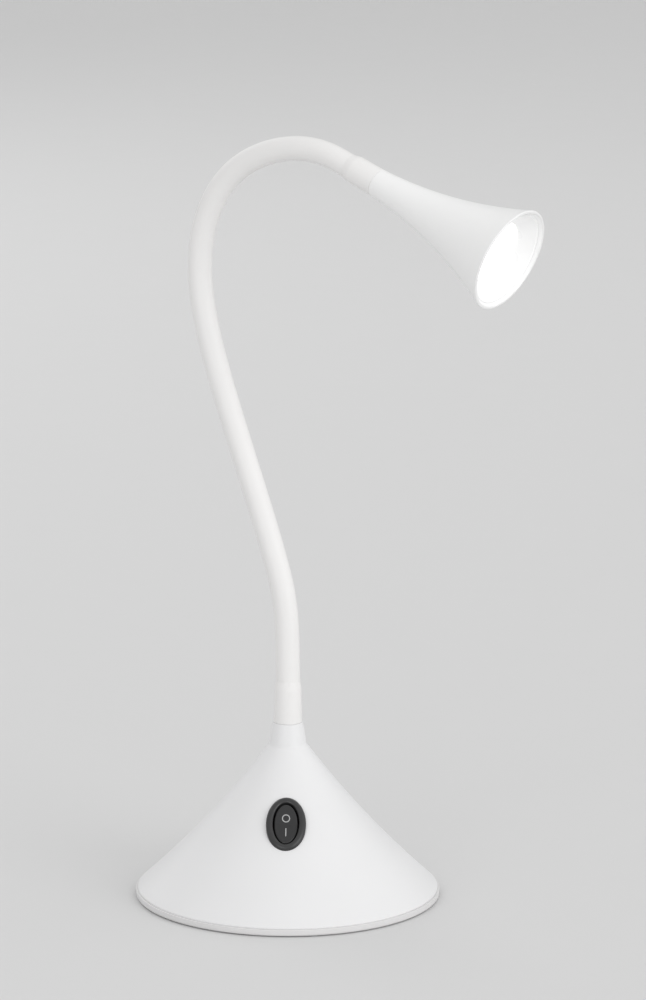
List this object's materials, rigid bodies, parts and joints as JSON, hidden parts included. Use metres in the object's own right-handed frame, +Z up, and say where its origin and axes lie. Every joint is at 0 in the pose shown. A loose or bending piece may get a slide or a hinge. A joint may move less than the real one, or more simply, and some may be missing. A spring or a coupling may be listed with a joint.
{
  "type": "desk lamp",
  "caption": "Small desk lamp with a flared round base, a rocker switch on its front slope, a bendable sleeved neck and a trumpet-shaped head",
  "frame": {"origin": "centre of the foot pad's underside, on the table", "axes": "+Z up, -Y towards the side with the switch, +X to the right seen from the switch's side"},
  "size_m": [0.1573, 0.1335, 0.3024],
  "materials": {
    "base_white": "satin",
    "neck_white": "satin",
    "head_white": "satin",
    "dish_white": "gloss",
    "diffuser_milk": "satin",
    "switch_black": "satin",
    "foam_grey": "matte",
    "steel": "satin",
    "ballast_steel": "matte",
    "sink_aluminium": "satin",
    "brass": "satin",
    "board_green": "satin",
    "board_white": "satin",
    "led_yellow": "satin",
    "bush_grey": "satin",
    "capacitor_blue": "satin",
    "ferrite": "matte",
    "terminal_green": "satin",
    "wire_black": "satin"
  },
  "bodies": {
    "base": {"foot_pad": "foam_grey", "bottom_cover": "base_white", "cover_screws": "steel", "ballast_screws": "steel", "ballast_plate": "ballast_steel", "base_shell": "base_white", "cable_bush": "bush_grey", "lower_ferrule": "steel", "neck_washer": "steel", "neck_nut": "steel", "lower_cuff": "neck_white", "switch_housing": "switch_black", "switch_terminals": "brass", "driver_board": "board_green", "board_standoffs": "brass", "board_screws": "steel", "transformer": "ferrite", "capacitors": "capacitor_blue", "input_terminal": "terminal_green", "base_leads": "wire_black", "neck_wires": "wire_black", "neck_sleeve_01": "neck_white", "neck_coil_01": "steel"},
    "neck_02": {"neck_sleeve_02": "neck_white", "neck_coil_02": "steel"},
    "neck_03": {"neck_sleeve_03": "neck_white", "neck_coil_03": "steel"},
    "neck_04": {"neck_sleeve_04": "neck_white", "neck_coil_04": "steel"},
    "neck_05": {"neck_sleeve_05": "neck_white", "neck_coil_05": "steel"},
    "neck_06": {"neck_sleeve_06": "neck_white", "neck_coil_06": "steel"},
    "neck_07": {"neck_sleeve_07": "neck_white", "neck_coil_07": "steel"},
    "neck_08": {"neck_sleeve_08": "neck_white", "neck_coil_08": "steel"},
    "neck_09": {"neck_sleeve_09": "neck_white", "neck_coil_09": "steel"},
    "neck_10": {"neck_sleeve_10": "neck_white", "neck_coil_10": "steel"},
    "neck_11": {"neck_sleeve_11": "neck_white", "neck_coil_11": "steel"},
    "head": {"neck_sleeve_12": "neck_white", "neck_coil_12": "steel", "upper_cuff": "neck_white", "upper_ferrule": "steel", "head_shell": "head_white", "reflector": "dish_white", "diffuser": "diffuser_milk", "led_board": "board_white", "led_emitters": "led_yellow", "heat_sink": "sink_aluminium", "led_screws": "steel"},
    "rocker": {"rocker": "switch_black", "switch_plunger": "brass", "switch_spring": "steel"},
    "contact_bar": {"contact_bar": "brass"}
  },
  "joints": [
    {"name": "neck_sway_lower", "type": "hinge", "parent": "base", "child": "neck_02", "pos_m": [-0.00043, 0.00029, 0.10769], "axis": [0.833, -0.5513, 0.0471], "range_deg": [-9, 9], "deforming": ["neck_wires"]},
    {"name": "neck_lean_lower", "type": "hinge", "parent": "neck_02", "child": "neck_03", "pos_m": [-0.00367, 0.00243, 0.12928], "axis": [0.5519, 0.8339, 0], "range_deg": [-9, 9], "deforming": ["neck_wires"]},
    {"name": "neck_sway_middle", "type": "hinge", "parent": "neck_03", "child": "neck_04", "pos_m": [-0.00978, 0.00647, 0.15002], "axis": [0.7775, -0.5146, 0.3616], "range_deg": [-9, 9], "deforming": ["neck_wires"]},
    {"name": "neck_lean_middle", "type": "hinge", "parent": "neck_04", "child": "neck_05", "pos_m": [-0.01647, 0.0109, 0.17051], "axis": [0.5519, 0.8339, 0], "range_deg": [-9, 9], "deforming": ["neck_wires"]},
    {"name": "neck_sway_upper", "type": "hinge", "parent": "neck_05", "child": "neck_06", "pos_m": [-0.02314, 0.01531, 0.191], "axis": [0.7785, -0.5153, 0.3584], "range_deg": [-9, 9], "deforming": ["neck_wires"]},
    {"name": "neck_lean_upper", "type": "hinge", "parent": "neck_06", "child": "neck_07", "pos_m": [-0.02935, 0.01943, 0.2117], "axis": [0.5519, 0.8339, 0], "range_deg": [-9, 9], "deforming": ["neck_wires"]},
    {"name": "neck_arch_1", "type": "hinge", "parent": "neck_07", "child": "neck_08", "pos_m": [-0.03403, 0.02253, 0.23296], "axis": [-0.5519, -0.8339, 0], "range_deg": [-6, 20], "deforming": ["neck_wires"]},
    {"name": "neck_arch_2", "type": "hinge", "parent": "neck_08", "child": "neck_09", "pos_m": [-0.03472, 0.02298, 0.25485], "axis": [-0.5519, -0.8339, 0], "range_deg": [-6, 20], "deforming": ["neck_wires"]},
    {"name": "neck_arch_3", "type": "hinge", "parent": "neck_09", "child": "neck_10", "pos_m": [-0.02875, 0.01903, 0.27547], "axis": [-0.5519, -0.8339, 0], "range_deg": [-6, 20], "deforming": ["neck_wires"]},
    {"name": "neck_arch_4", "type": "hinge", "parent": "neck_10", "child": "neck_11", "pos_m": [-0.01567, 0.01037, 0.29057], "axis": [-0.5519, -0.8339, 0], "range_deg": [-6, 20], "deforming": ["neck_wires"]},
    {"name": "head_turn", "type": "hinge", "parent": "neck_11", "child": "head", "pos_m": [0.00165, -0.00109, 0.29738], "axis": [0.1002, -0.0663, -0.9928], "range_deg": [-24, 24], "deforming": ["neck_wires"]},
    {"name": "switch_rocker", "type": "hinge", "parent": "base", "child": "rocker", "pos_m": [0, -0.02529, 0.03398], "axis": [-1, 0, 0], "range_deg": [0, 12]},
    {"name": "switch_contact", "type": "hinge", "parent": "base", "child": "contact_bar", "pos_m": [0, -0.02015, 0.02953], "axis": [-1, 0, 0], "range_deg": [-9, 0]}
  ],
  "couplings": [
    {"joint": "neck_sway_middle", "follows": "neck_sway_lower", "ratio": 1},
    {"joint": "neck_sway_upper", "follows": "neck_sway_lower", "ratio": 1},
    {"joint": "neck_lean_middle", "follows": "neck_lean_lower", "ratio": 1},
    {"joint": "neck_lean_upper", "follows": "neck_lean_lower", "ratio": 1},
    {"joint": "neck_arch_2", "follows": "neck_arch_1", "ratio": 1},
    {"joint": "neck_arch_3", "follows": "neck_arch_1", "ratio": 1},
    {"joint": "neck_arch_4", "follows": "neck_arch_1", "ratio": 1},
    {"joint": "switch_contact", "follows": "switch_rocker", "ratio": -0.75}
  ]
}
